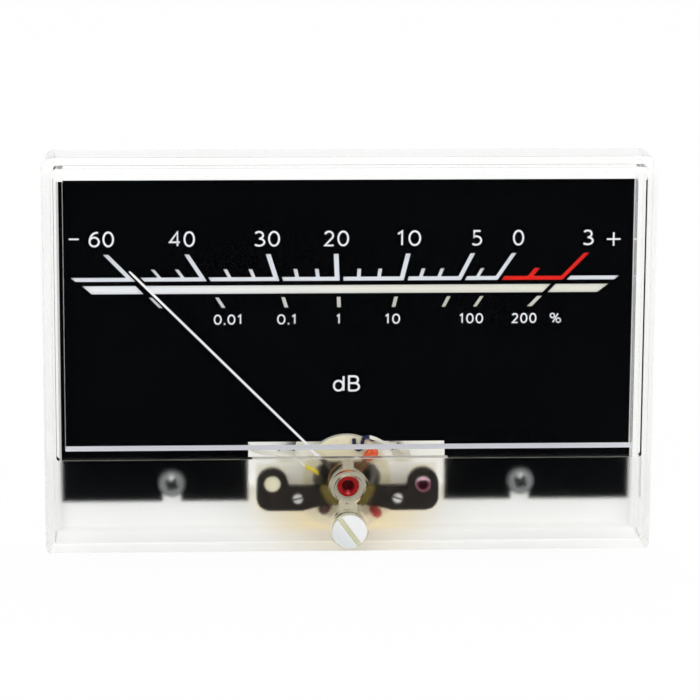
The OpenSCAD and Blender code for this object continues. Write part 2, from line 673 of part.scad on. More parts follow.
// ---------- zero adjustment ----------
fork_half = 1.5;
fork_gap = pin_radius + slot_play;
fork_low = adjuster_z + pin_offset - 1.5;
module zero_lever() color([0.86, 0.83, 0.74]) {
  difference() {
    union() {
      ycyl(lever_outer, lever_front, lever_back, 0, pivot_z);
      box(-fork_half, fork_half, lever_front, lever_back, fork_low, pivot_z - 1.5);
      box(-0.9, 0.9, lever_front, lever_back, pivot_z + 2, pivot_z + tab_reach + tab_thick);
    }
    ycyl(jewel_r + fit, lever_front - eps, lever_back + eps, 0, pivot_z);
    box(-fork_gap, fork_gap, lever_front - eps, lever_back + eps, fork_low - eps, adjuster_z + pin_offset + 0.95);
  }
  box(-0.6, 0.6, lever_back - eps, front_spring_y + spring_height + 0.05, pivot_z + tab_reach, pivot_z + tab_reach + tab_thick);
}
slot_angle = -36;
module zero_adjuster() color([0.96, 0.96, 0.94]) translate([0, 0, adjuster_z]) {
  difference() {
    ycyl(adjuster_head/2, -boss_proud - head_thick, -boss_proud);
    rotate([0, slot_angle, 0]) box(-0.42, 0.42, -boss_proud - head_thick - eps, -boss_proud - head_thick + 0.75, -5, 5);
  }
  ycyl(adjuster_shaft, -boss_proud - eps, cover_wall + clip_thick + eps);
  ycyl(2.1, cover_wall + clip_thick, lever_front - 0.55);
  ycyl(pin_radius, lever_front - 0.6, lever_back + 0.1, 0, pin_offset);
}
module adjuster_clip() color([0.80, 0.80, 0.80]) translate([0, 0, adjuster_z]) difference() {
  ycyl(2.4, cover_wall, cover_wall + clip_thick);
  ycyl(adjuster_shaft + fit, cover_wall - eps, cover_wall + clip_thick + eps);
}

// ---------- lamps and terminals ----------
module lamp_board() color([0.88, 0.90, 0.86]) difference() {
  box(-lamp_half, lamp_half, lamp_y, lamp_y + board_thick, lamp_z0, lamp_z0 + 8);
  pair(lamp_pin_x, lamp_z0 + 4) ycyl(lamp_shank_r, lamp_y - eps, lamp_y + board_thick + eps);
}
module lamp_leds() color([0.96, 0.97, 0.90]) for (x = [-22, 0, 22]) translate([x, 0, lamp_z0 + 4]) {
  ycyl(1.9, lamp_y - 0.8, lamp_y);
  ycyl(1.5, lamp_y - 3, lamp_y - 0.8 + eps);
  intersection() {
    translate([0, lamp_y - 3, 0]) sphere(r = 1.5, $fn = 32);
    ycyl(1.6, lamp_y - 5, lamp_y - 3 + eps);
  }
}
module lamp_pins() color([0.78, 0.76, 0.68]) pair(lamp_pin_x, lamp_z0 + 4) {
  ycyl(lamp_shank_r, lamp_y - 0.6, case_depth + 0.6);
  ycyl(lamp_pin_r, case_depth + 0.6 - eps, case_depth + 5.5);
}
module terminal_studs() color([0.82, 0.68, 0.36]) pair(stud_x, stud_z) {
  ycyl(shank_r, stud_tip, nut_back + 0.5);
  ycyl(stud_r, nut_back + 0.5 - eps, case_depth + 8.5);
  ycyl(shank_r + 1, rear_wall_front - 1.4, rear_wall_front);
}
module stud_nuts() color([0.80, 0.68, 0.40]) pair(stud_x, stud_z) difference() {
  translate([0, lug_back, 0]) rotate([-90, 0, 0]) cylinder(r = shank_r*1.8, h = nut_back - lug_back, $fn = 6);
  ycyl(shank_r, lug_back - eps, nut_back + eps);
}
module stud_washers() color([0.76, 0.76, 0.76]) pair(stud_x, stud_z) difference() {
  ycyl(shank_r + 1.8, case_depth, washer_back);
  ycyl(shank_r, case_depth - eps, washer_back + eps);
}
module solder_lugs() color([0.84, 0.84, 0.82]) pair(stud_x, stud_z) difference() {
  slab(washer_back, lug_back) {
    circle(r = shank_r + 1.4);
    translate([-lug_half, 0]) square([2*lug_half, lug_reach]);
    translate([0, lug_reach]) circle(r = lug_half);
  }
  ycyl(shank_r, washer_back - eps, lug_back + eps);
  ycyl(0.8, washer_back - eps, lug_back + eps, 0, lug_reach);
}

// ---------- lead wires ----------
wire_r = 0.32;
blue_y = collar_front - wire_r - 0.02;
// yellow: left stud, past the collar through the cut-out, to the back of the front bridge
yellow_route = concat([[-stud_x, stud_tip - 0.02, stud_z]],
  smooth([[-stud_x, stud_tip - 0.6, stud_z], [-stud_x, stud_tip - 4, stud_z - 6], [-16, 14.5, 14.2],
          [-11.5, 12, 13.5], [-9.0, 10, 13.4], [-8.2, 8.3, 13.2], [-7.6, 7.1, 13.0],
          [-6.6, bridge_back + 0.37, 12.5], [-5.3, bridge_back + 0.34, 11.8],
          [-4.3, bridge_back + 0.34, 10.9], [-4.4, bridge_back + wire_r + 0.01, pivot_z - 0.7]], 5));
// red: right stud to the rear spring arm
red_route = concat([[stud_x, stud_tip - 0.02, stud_z]],
  smooth([[stud_x, stud_tip - 0.6, stud_z], [stud_x - 1.5, stud_tip - 2, stud_z - 3], [11, 23, 18.5],
          [4, 24.2, 15.2], [0.95, rear_bridge_back - 0.2, pivot_z + tab_reach + 0.4]], 6));
// blue: rear bridge, up through the cut-out and over the collar's shoulder
blue_route = smooth([[rear_post_x, rear_bridge_front + 0.6, pivot_z + 1.6 + wire_r + 0.02],
  [9.7, 20, 12.8], [9.6, 14, 13.4], [7.7, 11.6, 14.8], [6.4, 10.2, 15.2], [5.6, 9.0, 15.9],
  [4.5, blue_y, 16.6], [3.2, blue_y, 16.9], [2.6, blue_y, 16.4], [2.45, blue_y, 15.5],
  [1.8, blue_y, 15.1], [1.25, blue_y, 15.6], [1.15, blue_y, 16.6]], 5);
module wire_yellow() color([0.90, 0.80, 0.12]) wire(yellow_route, wire_r, [1, 0.2, 0]);
module wire_red() color([0.85, 0.16, 0.08]) wire(red_route, wire_r, [0.65, 0, -0.75]);
module wire_blue() color([0.06, 0.12, 0.36]) wire(blue_route, wire_r, [0.3, 0, 1]);

rear_case();
front_cover();
dial_sheet();
dial_mask();
dial_screws();
movement_frame();
yoke_ring();
core_magnet();
core_webs();
front_bridge();
bridge_pillars();
pillar_screws();
ear_screw();
front_jewel_screw();
rear_bridge();
rear_bridge_screws();
rear_jewel_screw();
rear_spring_arm();
frame_screws();
stop_pins();
coil_former();
coil_winding();
pointer_hub();
pivot_pins();
pointer();
balance_cross();
tail_weight();
right_weight();
left_weight();
front_hairspring();
rear_hairspring();
zero_lever();
zero_adjuster();
adjuster_clip();
lamp_board();
lamp_leds();
lamp_pins();
terminal_studs();
stud_nuts();
stud_washers();
solder_lugs();
wire_yellow();
wire_blue();
wire_red();
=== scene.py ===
# Looks of the analog level meter: materials, dial print, eased edges, studio and camera.
# Lengths are in millimetres times MM, in the frame of the CAD model:
# X right, -Y front, +Z up, origin at the bottom middle of the cover's front face.
import json
import math
from functools import reduce

import bmesh
import bpy
from mathutils import Matrix, Vector, noise as mnoise


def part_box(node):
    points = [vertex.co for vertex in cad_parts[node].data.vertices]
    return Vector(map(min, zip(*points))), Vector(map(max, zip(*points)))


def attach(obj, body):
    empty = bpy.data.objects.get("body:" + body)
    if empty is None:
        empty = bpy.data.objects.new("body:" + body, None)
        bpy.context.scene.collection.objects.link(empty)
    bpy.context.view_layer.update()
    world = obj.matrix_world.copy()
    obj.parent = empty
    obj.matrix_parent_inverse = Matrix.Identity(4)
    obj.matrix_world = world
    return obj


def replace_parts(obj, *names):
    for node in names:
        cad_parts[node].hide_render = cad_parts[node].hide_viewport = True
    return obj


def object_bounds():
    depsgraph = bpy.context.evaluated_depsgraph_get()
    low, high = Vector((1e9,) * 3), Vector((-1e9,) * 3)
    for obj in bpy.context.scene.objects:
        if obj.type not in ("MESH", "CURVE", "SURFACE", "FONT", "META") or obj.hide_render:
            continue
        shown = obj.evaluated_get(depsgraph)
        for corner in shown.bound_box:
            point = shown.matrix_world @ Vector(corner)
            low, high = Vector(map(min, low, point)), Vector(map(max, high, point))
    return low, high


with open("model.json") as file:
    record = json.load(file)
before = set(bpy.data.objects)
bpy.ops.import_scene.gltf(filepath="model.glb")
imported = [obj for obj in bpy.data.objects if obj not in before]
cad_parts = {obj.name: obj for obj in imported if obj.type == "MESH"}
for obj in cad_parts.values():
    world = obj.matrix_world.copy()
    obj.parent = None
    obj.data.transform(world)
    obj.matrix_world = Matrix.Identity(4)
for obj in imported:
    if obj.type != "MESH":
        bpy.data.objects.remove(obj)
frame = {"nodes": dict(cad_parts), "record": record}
nodes = frame["nodes"]
cad_low, cad_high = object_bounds()

# lengths and places of the CAD model, in mm
MM = 0.001
DIAL_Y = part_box("dial_mask")[0].y / MM        # front plane of the black dial
WINDOW_LOW, WINDOW_TOP = 16.0, 62.8           # lower and upper outside edge of the raised window
WINDOW_HALF = 46.5                            # half width of the window
PIVOT_Z = 10.0
BOSS_UPPER = (10.2, 3.3)                      # height and radius of the two circles
BOSS_LOWER = (3.9, 3.2)                       # of the clear boss
BOSS_NECK = 1.9                               # half width of the neck between them
SCALE_CENTER_Z = 7.0                          # where the scale lines would meet
CHAMBER = (42.6, 28.6, 56.6)                  # half width, depth and height of the light chamber
LIP_END = (12.3, 14.0)                        # depth where the lip and the low wall fade out
DIAL_SCREW = (28.35, 9.2)                     # distance from the middle and height of the axes
PILLAR_SCREW = (8.05, 7.7)                    # of the screws
EAR_SCREW = (12.15, 10.0)
JEWEL_SCREW = (0.0, PIVOT_Z)
ADJUSTER_FACE, PILLAR_FACE = -2.60, 4.25      # front planes of slotted heads
JEWEL_FACE, EAR_FACE = 3.3, 4.0               # front planes of lacquered heads

# optics of the clear plastic
CLEAR = (0.985, 0.99, 0.992)
PLASTIC_IOR = 1.49


# ---------- node material helper ----------
class Shader:
    """A material or a world under construction. Sizes and places are given in mm."""

    def __init__(self, name, blocks=None):
        self.block = (bpy.data.materials if blocks is None else blocks).new(name)
        self.block.use_nodes = True
        self.tree = self.block.node_tree
        self.tree.nodes.clear()
        self.coords = self.add("ShaderNodeTexCoord").outputs["Object"]

    def add(self, kind, **settings):
        node = self.tree.nodes.new(kind)
        for key, value in settings.items():
            setattr(node, key, value)
        return node

    def put(self, socket, value):
        if isinstance(value, bpy.types.NodeSocket):
            self.tree.links.new(value, socket)
        elif isinstance(value, tuple) and len(value) == 3 and socket.type == "RGBA":
            socket.default_value = (*value, 1.0)
        else:
            socket.default_value = value

    def noise(self, spot, detail=3.0, stretch=(1, 1, 1)):
        """A noise whose spots are about the given size."""
        moved = self.add("ShaderNodeMapping")
        self.put(moved.inputs["Vector"], self.coords)
        self.put(moved.inputs["Scale"], tuple(1 / (spot * MM * s) for s in stretch))
        node = self.add("ShaderNodeTexNoise")
        self.put(node.inputs["Vector"], moved.outputs["Vector"])
        self.put(node.inputs["Scale"], 1.0)
        self.put(node.inputs["Detail"], detail)
        return node.outputs["Fac"]

    def remap(self, value, low, high, smooth=False, span=(0.3, 0.7)):
        """From low to high as the value crosses the span, by default that of a noise."""
        node = self.add("ShaderNodeMapRange")
        if smooth:
            node.interpolation_type = "SMOOTHSTEP"
        for key, v in zip(("Value", "From Min", "From Max", "To Min", "To Max"),
                          (value, span[0], span[1], low, high)):
            self.put(node.inputs[key], v)
        return node.outputs["Result"]

    def ramp(self, place, start, end, low=0.0, high=1.0, smooth=False):
        """From low to high between two places."""
        return self.remap(place, low, high, smooth, (start * MM, end * MM))

    def fall(self, place, start, end, smooth=False):
        """From 1 to 0 between two places."""
        return self.ramp(place, start, end, 1.0, 0.0, smooth)

    def math(self, kind, a, b=0.0):
        node = self.add("ShaderNodeMath", operation=kind)
        self.put(node.inputs[0], a)
        self.put(node.inputs[1], b)
        return node.outputs[0]

    def product(self, *values):
        return reduce(lambda a, b: self.math("MULTIPLY", a, b), values)

    def largest(self, *values):
        return reduce(lambda a, b: self.math("MAXIMUM", a, b), values)

    def mix(self, share, a, b):
        node = self.add("ShaderNodeMix", data_type="RGBA")
        self.put(node.inputs["Factor"], share)
        self.put(node.inputs[6], a)
        self.put(node.inputs[7], b)
        return node.outputs[2]

    def mottled(self, noise, a, b):
        """Spots of colour a and colour b."""
        return self.mix(self.remap(noise, 0.0, 1.0), a, b)

    def axes(self):
        node = self.add("ShaderNodeSeparateXYZ")
        self.put(node.inputs[0], self.coords)
        return node.outputs

    def distance(self, x, z, center_z):
        """Distance from (0, center_z) in the plane of the front."""
        dz = self.math("SUBTRACT", z, center_z * MM)
        return self.math("SQRT", self.math("ADD", self.math("MULTIPLY", x, x),
                                           self.math("MULTIPLY", dz, dz)))

    def bump(self, height, strength, depth):
        node = self.add("ShaderNodeBump")
        self.put(node.inputs["Height"], height)
        self.put(node.inputs["Strength"], strength)
        self.put(node.inputs["Distance"], depth * MM)
        return node.outputs["Normal"]

    def principled(self, **values):
        node = self.add("ShaderNodeBsdfPrincipled")
        for key, value in values.items():
            self.put(node.inputs[key.replace("_", " ")], value)
        return node.outputs["BSDF"]

    def glass(self, rough, color=CLEAR, ior=PLASTIC_IOR, reflection=0.4, **values):
        return self.principled(Base_Color=color, Roughness=rough, IOR=ior, Transmission_Weight=1.0,
                               Specular_Tint=(reflection,) * 3, **values)

    def passing(self, kind, color):
        """A shader node that lets light of the given colour through."""
        node = self.add(kind)
        self.put(node.inputs[0], color)
        return node.outputs[0]

    def blend(self, share, a, b):
        node = self.add("ShaderNodeMixShader")
        self.put(node.inputs[0], share)
        self.put(node.inputs[1], a)
        self.put(node.inputs[2], b)
        return node.outputs[0]

    def done(self, surface, kind="ShaderNodeOutputMaterial"):
        self.put(self.add(kind).inputs["Surface"], surface)
        return self.block


def shade(color, factor):
    return tuple(min(1.0, c * factor) for c in color)


def finish_of(name, color, rough, metal, spot, vary, depth=0.004, stretch=(1, 1, 1)):
    """A surface whose colour, roughness and height vary a little, at the given spot size."""
    s = Shader(name)
    broad = s.noise(spot, stretch=stretch)
    fine = s.noise(0.25, 4.0, stretch)
    return s.done(s.principled(
        Base_Color=s.mottled(broad, shade(color, 1 - vary), shade(color, 1 + vary)),
        Roughness=s.remap(fine, rough - 0.06, rough + 0.06), Metallic=metal,
        Normal=s.bump(fine, 0.6, depth)))


# ---------- special materials ----------
def off_boss(s, x, z):
    """0 on the clear boss round the jewel and the adjuster, 1 beside it."""
    upper, lower = [s.ramp(s.distance(x, z, height), radius - 0.1, radius)
                    for height, radius in (BOSS_UPPER, BOSS_LOWER)]
    side = s.ramp(s.math("ABSOLUTE", x), BOSS_NECK - 0.1, BOSS_NECK)
    above = s.ramp(z, BOSS_UPPER[0], BOSS_UPPER[0] + 0.2)
    below = s.fall(z, BOSS_LOWER[0] - 0.2, BOSS_LOWER[0])
    return s.product(upper, lower, s.largest(side, above, below))


def light_passes(s, body):
    """The same surface, except that lamps and soft light reach what lies behind it."""
    path = s.add("ShaderNodeLightPath").outputs
    soft = s.largest(path["Is Shadow Ray"], path["Is Diffuse Ray"])
    passed = s.passing("ShaderNodeBsdfTransparent", (0.988, 0.99, 0.992))
    return s.done(s.blend(soft, body, passed))


def clear_moulding():
    """Polished clear plastic of the skirt, the window's walls and every edge."""
    s = Shader("clear_moulding")
    ripple = s.noise(9.0, 1.0)
    return light_passes(s, s.glass(s.remap(s.noise(0.5), 0.01, 0.025),
                                   Normal=s.bump(ripple, 0.1, 0.01)))


def clear_faces():
    """The cover's flat faces: bloomed window, and the pebbled lower band on the front face."""
    s = Shader("clear_faces")
    x, y, z = s.axes()
    band = s.fall(z, WINDOW_LOW - 0.15, WINDOW_LOW + 0.05)
    front = s.fall(y, 0.15, 0.3)
    off_jewel = s.ramp(s.distance(x, z, PIVOT_Z), 2.0, 2.5, 0.0, 0.8)
    frost = s.product(band, front, s.largest(off_boss(s, x, z), off_jewel))
    pebbles = s.product(s.noise(0.2, 1.0), frost)
    roughness = s.math("ADD", s.math("MULTIPLY", frost, 0.17), 0.01)
    # the plastic is thicker to look through beside and above the window
    deep = s.largest(s.ramp(s.math("ABSOLUTE", x), WINDOW_HALF - 1.1, WINDOW_HALF + 0.1),
                     s.ramp(z, WINDOW_TOP - 0.4, WINDOW_TOP + 0.1))
    shell = s.mix(band, (0.968, 0.969, 0.967), (0.948, 0.948, 0.942))
    return light_passes(s, s.glass(roughness, s.mix(deep, (0.99, 0.992, 0.993), shell),
                                   reflection=0.02, Normal=s.bump(pebbles, 1.0, 0.02)))


def soft_edges(name, ior):
    """Rounded rims, which bend the view behind them only a little."""
    s = Shader(name)
    return light_passes(s, s.glass(s.remap(s.noise(0.4), 0.08, 0.14), (0.985, 0.985, 0.98), ior,
                                   reflection=1.0, Normal=s.bump(s.noise(0.6), 0.2, 0.01)))


def frosted_ledge():
    """Matt inside ledge under the window, which catches the light."""
    s = Shader("frosted_ledge")
    fine = s.noise(0.3, 3.0)
    base = s.mottled(s.noise(6.0), (0.85, 0.86, 0.93), (0.91, 0.92, 0.98))
    skin = s.principled(Base_Color=base, Roughness=s.remap(fine, 0.5, 0.62),
                        Specular_IOR_Level=0.2, Normal=s.bump(fine, 0.4, 0.01))
    through = s.passing("ShaderNodeBsdfTranslucent", (0.92, 0.92, 0.98))
    return s.done(s.blend(0.2, skin, through))


def window_edge():
    """Underside of the window: clear, with a matt line along its corners.

    Over the dial's cut-out, and faintly along that line, it carries a painted reflection of the
    frame's cream and of the movement's colours."""
    s = Shader("window_edge")
    x, y, z = s.axes()
    fine = s.noise(0.5, 3.0, (4, 1, 1))
    # painted reflection of the cream frame, in mottled tones
    cream = s.mottled(fine, (0.74, 0.70, 0.58), (0.90, 0.88, 0.80))
    reflection_row = s.product(s.ramp(y, -2.7, -2.4), s.fall(y, -0.4, -0.2))
    # painted reflections of the dark iron ring, then of the red weight
    for color, start, end in (((0.12, 0.09, 0.06), -4.8, 1.0), ((0.36, 0.07, 0.04), 1.2, 5.4)):
        stretch = s.product(s.ramp(x, start, start + 0.6), s.fall(x, end - 0.6, end))
        cream = s.mix(s.product(reflection_row, stretch, s.remap(fine, 0.4, 1.0)), cream, color)
    skin = s.principled(Base_Color=cream, Roughness=0.5, Specular_IOR_Level=0.2,
                        Normal=s.bump(fine, 0.3, 0.01))
    clear = s.glass(s.remap(fine, 0.02, 0.04))
    reflection_over_cutout = s.ramp(s.math("ABSOLUTE", x), 15.4, 15.7, 0.9, 0.0)
    line = s.ramp(z, WINDOW_LOW + 0.003, WINDOW_LOW + 0.01, 0.02, 0.3)
    return light_passes(s, s.blend(s.largest(reflection_over_cutout, line), clear, skin))


def skirt_haze():
    """Lower wall of the cover: slightly milky, with a painted warm shade in front of the movement
    and a faint painted glow.
    """
    s = Shader("skirt_haze")
    x, _, z = s.axes()
    fine = s.noise(0.4, 3.0)
    # painted warm shade of the movement, strongest in front of it
    warm = s.product(s.fall(s.math("ABSOLUTE", x), 3, 17, smooth=True),
                     s.ramp(z, 0.2, 1.2, 0.2, 1.0))
    base = s.mix(warm, (0.93, 0.93, 0.915), (0.84, 0.79, 0.68))
    # the emission is a painted glow, which stands in for light reaching this wall
    skin = s.principled(Base_Color=base, Roughness=s.remap(fine, 0.4, 0.5),
                        Specular_IOR_Level=0.2, Emission_Color=base, Emission_Strength=0.25,
                        Normal=s.bump(fine, 0.3, 0.01))
    return light_passes(s, s.blend(0.75, s.glass(0.02), skin))


def milky_moulding():
    """Milky case: part of the light passes through its walls. Inside lie a painted glow of its
    lamps, and painted light and shade of the movement.
    """
    s = Shader("milky_moulding")
    x, y, z = s.axes()
    across = s.math("ABSOLUTE", x)
    radius = s.distance(x, z, PIVOT_Z)
    fine = s.noise(0.4, 4.0)
    white = s.mottled(s.noise(14.0), (0.93, 0.93, 0.915), (0.97, 0.97, 0.96))
    # painted light: the cream of the movement shining on the low wall round it
    near = s.product(s.fall(radius, 7.5, 19.0, smooth=True), s.fall(y, 12.5, 13.5))
    base = s.mix(s.product(near, 0.8), white, (0.83, 0.725, 0.46))
    # painted shadow of the movement on the wall behind it
    behind = s.product(s.fall(radius, 8.0, 9.5), s.ramp(y, 20, 22),
                       s.fall(y, CHAMBER[1], CHAMBER[1] + 0.3))
    base = s.mix(behind, base, (0.06, 0.05, 0.025))
    # painted glow of the lamps in the chamber, none right behind the movement
    painted_chamber_glow = s.product(s.ramp(radius, 8.5, 10.5), s.fall(across, CHAMBER[0], CHAMBER[0] + 0.5),
                        s.fall(y, CHAMBER[1], CHAMBER[1] + 0.3), s.ramp(z, 0.8, 1.5),
                        s.fall(z, CHAMBER[2], CHAMBER[2] + 0.5), s.ramp(y, 12.3, 13.5, 0.0, 0.28))
    # a weaker painted glow in the low wall and the lip, painted brighter at the top than at the
    # sides
    front = s.math("ADD", s.ramp(y, *LIP_END, 0.12, 0.0), s.product(near, 0.13))
    sides = s.ramp(across, 45.4, 45.9, 1.0, 0.65)
    painted_top_glow = s.product(s.ramp(z, 60.0, 60.5, 0.0, 0.05), s.fall(y, *LIP_END))
    front = s.math("ADD", s.product(front, sides), painted_top_glow)
    skin = s.principled(Base_Color=base, Roughness=s.remap(fine, 0.38, 0.5),
                        Emission_Color=base, Emission_Strength=s.largest(painted_chamber_glow, front),
                        Normal=s.bump(fine, 0.4, 0.006))
    through = s.passing("ShaderNodeBsdfTranslucent", (0.97, 0.965, 0.94))
    return s.done(s.blend(0.2, skin, through))


def black_film():
    """Nearly black print of the mask."""
    s = Shader("black_film")
    fine = s.noise(0.12, 2.0)
    return s.done(s.principled(
        Base_Color=s.mottled(s.noise(20.0), (0.0003, 0.0005, 0.0008), (0.0006, 0.0009, 0.0013)),
        Roughness=s.remap(fine, 0.5, 0.62), Specular_IOR_Level=0.01,
        Normal=s.bump(fine, 0.3, 0.003)))


def scale_sheet():
    """White sheet behind the mask, with the red stretch of the scale and a faint painted glow."""
    s = Shader("scale_sheet")
    x, _, z = s.axes()
    # the red stretch lies between two slopes from the scale centre, and above the lower bar
    slope = s.math("DIVIDE", x, s.math("SUBTRACT", z, SCALE_CENTER_Z * MM))
    raised = s.ramp(z, 41.85, 41.95)
    red = s.product(s.remap(slope, 0.0, 1.0, span=(0.694, 0.697)),
                    s.remap(slope, 1.0, 0.0, span=(0.994, 0.998)), raised, s.fall(z, 47.4, 47.5))
    cool = s.mottled(s.noise(6.0), (0.80, 0.83, 0.88), (0.84, 0.87, 0.92))
    # the lower bar is warmer towards the right
    warm = s.product(s.ramp(x, -40, 20, 0.25, 1.0, smooth=True), s.math("SUBTRACT", 1.0, raised))
    base = s.mix(red, s.mix(warm, cool, (0.74, 0.73, 0.64)), (0.86, 0.012, 0.006))
    # a faint painted glow of the sheet's own colour
    return s.done(s.principled(Base_Color=base, Roughness=0.5, Specular_IOR_Level=0.2,
                               Emission_Color=base, Emission_Strength=0.12))


def bridge_coat():
    """Dark brown enamel, with a painted gold reflection of the hairspring round the jewel."""
    s = Shader("bridge_coat")
    x, _, z = s.axes()
    radius = s.distance(x, z, PIVOT_Z)
    # painted reflection of the gold hairspring, a ring round the jewel
    painted_hairspring_light = s.product(s.ramp(radius, 2.2, 2.9), s.fall(radius, 3.9, 4.8), 0.8)
    fine = s.noise(0.25, 4.0)
    dark = s.mottled(s.noise(1.5), (0.011, 0.008, 0.006), (0.021, 0.016, 0.012))
    return s.done(s.principled(
        Base_Color=s.mix(painted_hairspring_light, dark, (0.20, 0.15, 0.03)), Roughness=s.remap(fine, 0.38, 0.5),
        Specular_IOR_Level=0.12, Normal=s.bump(fine, 0.6, 0.01)))


def clear_cream(name, color, clearness):
    """Thin cream plastic that lets some of what is behind it show, greyer in its ring."""
    s = Shader(name)
    fine = s.noise(0.4, 3.0)
    ring = s.ramp(s.axes()[2], 7.0, 8.2, 0.0, 0.7)
    base = s.mix(ring, s.mottled(s.noise(2.0), shade(color, 0.95), color), shade(color, 0.74))
    skin = s.principled(Base_Color=base, Roughness=s.remap(fine, 0.25, 0.35),
                        Normal=s.bump(fine, 0.4, 0.01))
    through = s.passing("ShaderNodeBsdfTransparent", (0.98, 0.97, 0.93))
    return s.done(s.blend(clearness, skin, through))


def lacquer(name, dark, bright):
    """Glossy locking lacquer, thinner and brighter at its high spots."""
    s = Shader(name)
    broad = s.noise(0.8, 2.0)
    return s.done(s.principled(
        Base_Color=s.mottled(broad, dark, bright), Roughness=s.remap(s.noise(0.2, 3.0), 0.14, 0.3),
        Specular_IOR_Level=0.25, Coat_Weight=0.25, Coat_Roughness=0.06,
        Normal=s.bump(broad, 0.5, 0.05)))


def lacquered_screw(name, center, face_y, hollow, dark, bright, deep, rim_highlight_color, rim_highlight_rise,
                    glint_color, glint_rise, glint_radius):
    """Lacquered face of a screw: painted shade deep in its hollow, a painted highlight on its upper
    edge, a small painted glint.

    The rises are heights above its axis. Behind the face plane the metal is bare."""
    s = Shader(name)
    x, y, z = s.axes()
    dx = s.math("SUBTRACT", x, center[0] * MM)
    radius = s.distance(dx, z, center[1])
    broad = s.noise(0.7, 2.0)
    fine = s.noise(0.15, 3.0)
    # painted shade in the hollow, in the colour deep
    inner = s.fall(radius, hollow * 0.75, hollow, smooth=True)
    skin = s.mix(inner, s.mottled(broad, dark, bright), deep)
    # painted highlight along the upper edge
    rise = s.ramp(s.math("SUBTRACT", z, center[1] * MM), *rim_highlight_rise, smooth=True)
    painted_rim = s.product(rise, s.math("SUBTRACT", 1.0, inner), s.remap(fine, 0.5, 1.0))
    # painted glint
    glint = s.fall(s.distance(dx, z, center[1] + glint_rise), 0.1, glint_radius, smooth=True)
    base = s.mix(glint, s.mix(painted_rim, skin, rim_highlight_color), glint_color)
    bare = s.product(s.ramp(y, face_y + 0.25, face_y + 0.35),
                     s.ramp(radius, hollow + 0.15, hollow + 0.2))
    return s.done(s.principled(
        Base_Color=s.mix(bare, base, (0.42, 0.38, 0.30)), Roughness=s.remap(fine, 0.3, 0.45),
        Specular_IOR_Level=0.05, Normal=s.bump(broad, 0.6, 0.06)))


def capped_screw(name, center):
    """Domed grey heads on both sides: painted shade in the recess and round the edge, a lighter
    ring between and a painted highlight above.
    """
    s = Shader(name)
    x, _, z = s.axes()
    dx = s.math("SUBTRACT", s.math("ABSOLUTE", x), center[0] * MM)
    radius = s.distance(dx, z, center[1])
    fine = s.noise(0.2, 3.0)
    # painted shade in the middle and round the edge, a lighter ring between
    ring = s.product(s.ramp(radius, 0.5, 1.3, smooth=True), s.fall(radius, 1.7, 2.3, smooth=True))
    base = s.mix(ring, (0.02, 0.021, 0.021), (0.27, 0.28, 0.28))
    # painted highlight above the middle
    painted_top_highlight = s.fall(s.distance(dx, z, center[1] + 1.05), 0.1, 0.75, smooth=True)
    base = s.mix(painted_top_highlight, base, (0.80, 0.80, 0.78))
    return s.done(s.principled(
        Base_Color=s.mix(s.remap(fine, 0.0, 0.3), base, (0.1, 0.1, 0.1)),
        Roughness=s.remap(fine, 0.35, 0.5), Metallic=0.2, Specular_IOR_Level=0.2,
        Normal=s.bump(fine, 0.4, 0.01)))


def slotted_nylon(name, face_y):
    """White nylon head, cool on its face, painted lighter towards the upper right, and greenish
    cream in its slot behind face_y.
    """
    s = Shader(name)
    x, y, z = s.axes()
    fine = s.noise(0.3, 3.0)
    in_slot = s.product(s.ramp(y, face_y + 0.05, face_y + 0.3), s.fall(y, -0.95, -0.85))
    # painted light: the face is lighter towards the upper right and shaded towards the lower left
    painted_light_upper_right = s.ramp(s.math("ADD", x, z), 1.0, 5.5, smooth=True)
    skin = s.mix(painted_light_upper_right, (0.75, 0.775, 0.78), (0.90, 0.905, 0.905))
    return s.done(s.principled(
        Base_Color=s.mix(in_slot, skin, (0.80, 0.80, 0.60)), Roughness=s.remap(fine, 0.25, 0.35),
        Specular_IOR_Level=0.3, Normal=s.bump(fine, 0.4, 0.006)))


def slotted_steel(name, color, center, face_y):
    """Small steel heads on both sides, with painted shade round the edge and in the slot behind
    face_y.
    """
    s = Shader(name)
    x, y, z = s.axes()
    fine = s.noise(0.2, 3.0)
    # painted shade in the slot, which also loses its metal
    painted_slot_shade = s.ramp(y, face_y + 0.06, face_y + 0.16)
    skin = s.mottled(s.noise(0.5), shade(color, 0.8), shade(color, 1.15))
    dx = s.math("SUBTRACT", s.math("ABSOLUTE", x), center[0] * MM)
    # painted shade round the edge of each head
    painted_rim = s.ramp(s.distance(dx, z, center[1]), 0.6, 0.9, 0.0, 0.85, smooth=True)
    return s.done(s.principled(
        Base_Color=s.mix(s.largest(painted_slot_shade, painted_rim), skin, (0.025, 0.022, 0.018)),
        Roughness=s.remap(fine, 0.3, 0.45), Metallic=s.remap(painted_slot_shade, 0.7, 0.0, span=(0, 1)),
        Normal=s.bump(fine, 0.5, 0.01)))


def sleeved_wire(name, color, sleeve, end, x_from, x_to, y_to):
    """Coloured insulation that shows from x_from to x_to, up to the depth y_to.

    A white sleeve covers it beyond them, and past x_to the end colour shows."""
    s = Shader(name)
    x, y, _ = s.axes()
    edge = 0.15
    bare = s.product(s.ramp(x, x_from, x_from + edge), s.fall(x, x_to, x_to + edge),
                     s.fall(y, y_to, y_to + edge))
    fine = s.noise(0.3, 3.0)
    tone = s.mottled(s.noise(1.5), shade(color, 0.85), shade(color, 1.1))
    beyond = s.mix(s.ramp(x, x_to, x_to + edge), sleeve, end)
    return s.done(s.principled(
        Base_Color=s.mix(bare, beyond, tone), Roughness=s.remap(fine, 0.35, 0.45),
        Specular_IOR_Level=0.3, Normal=s.bump(fine, 0.4, 0.01)))


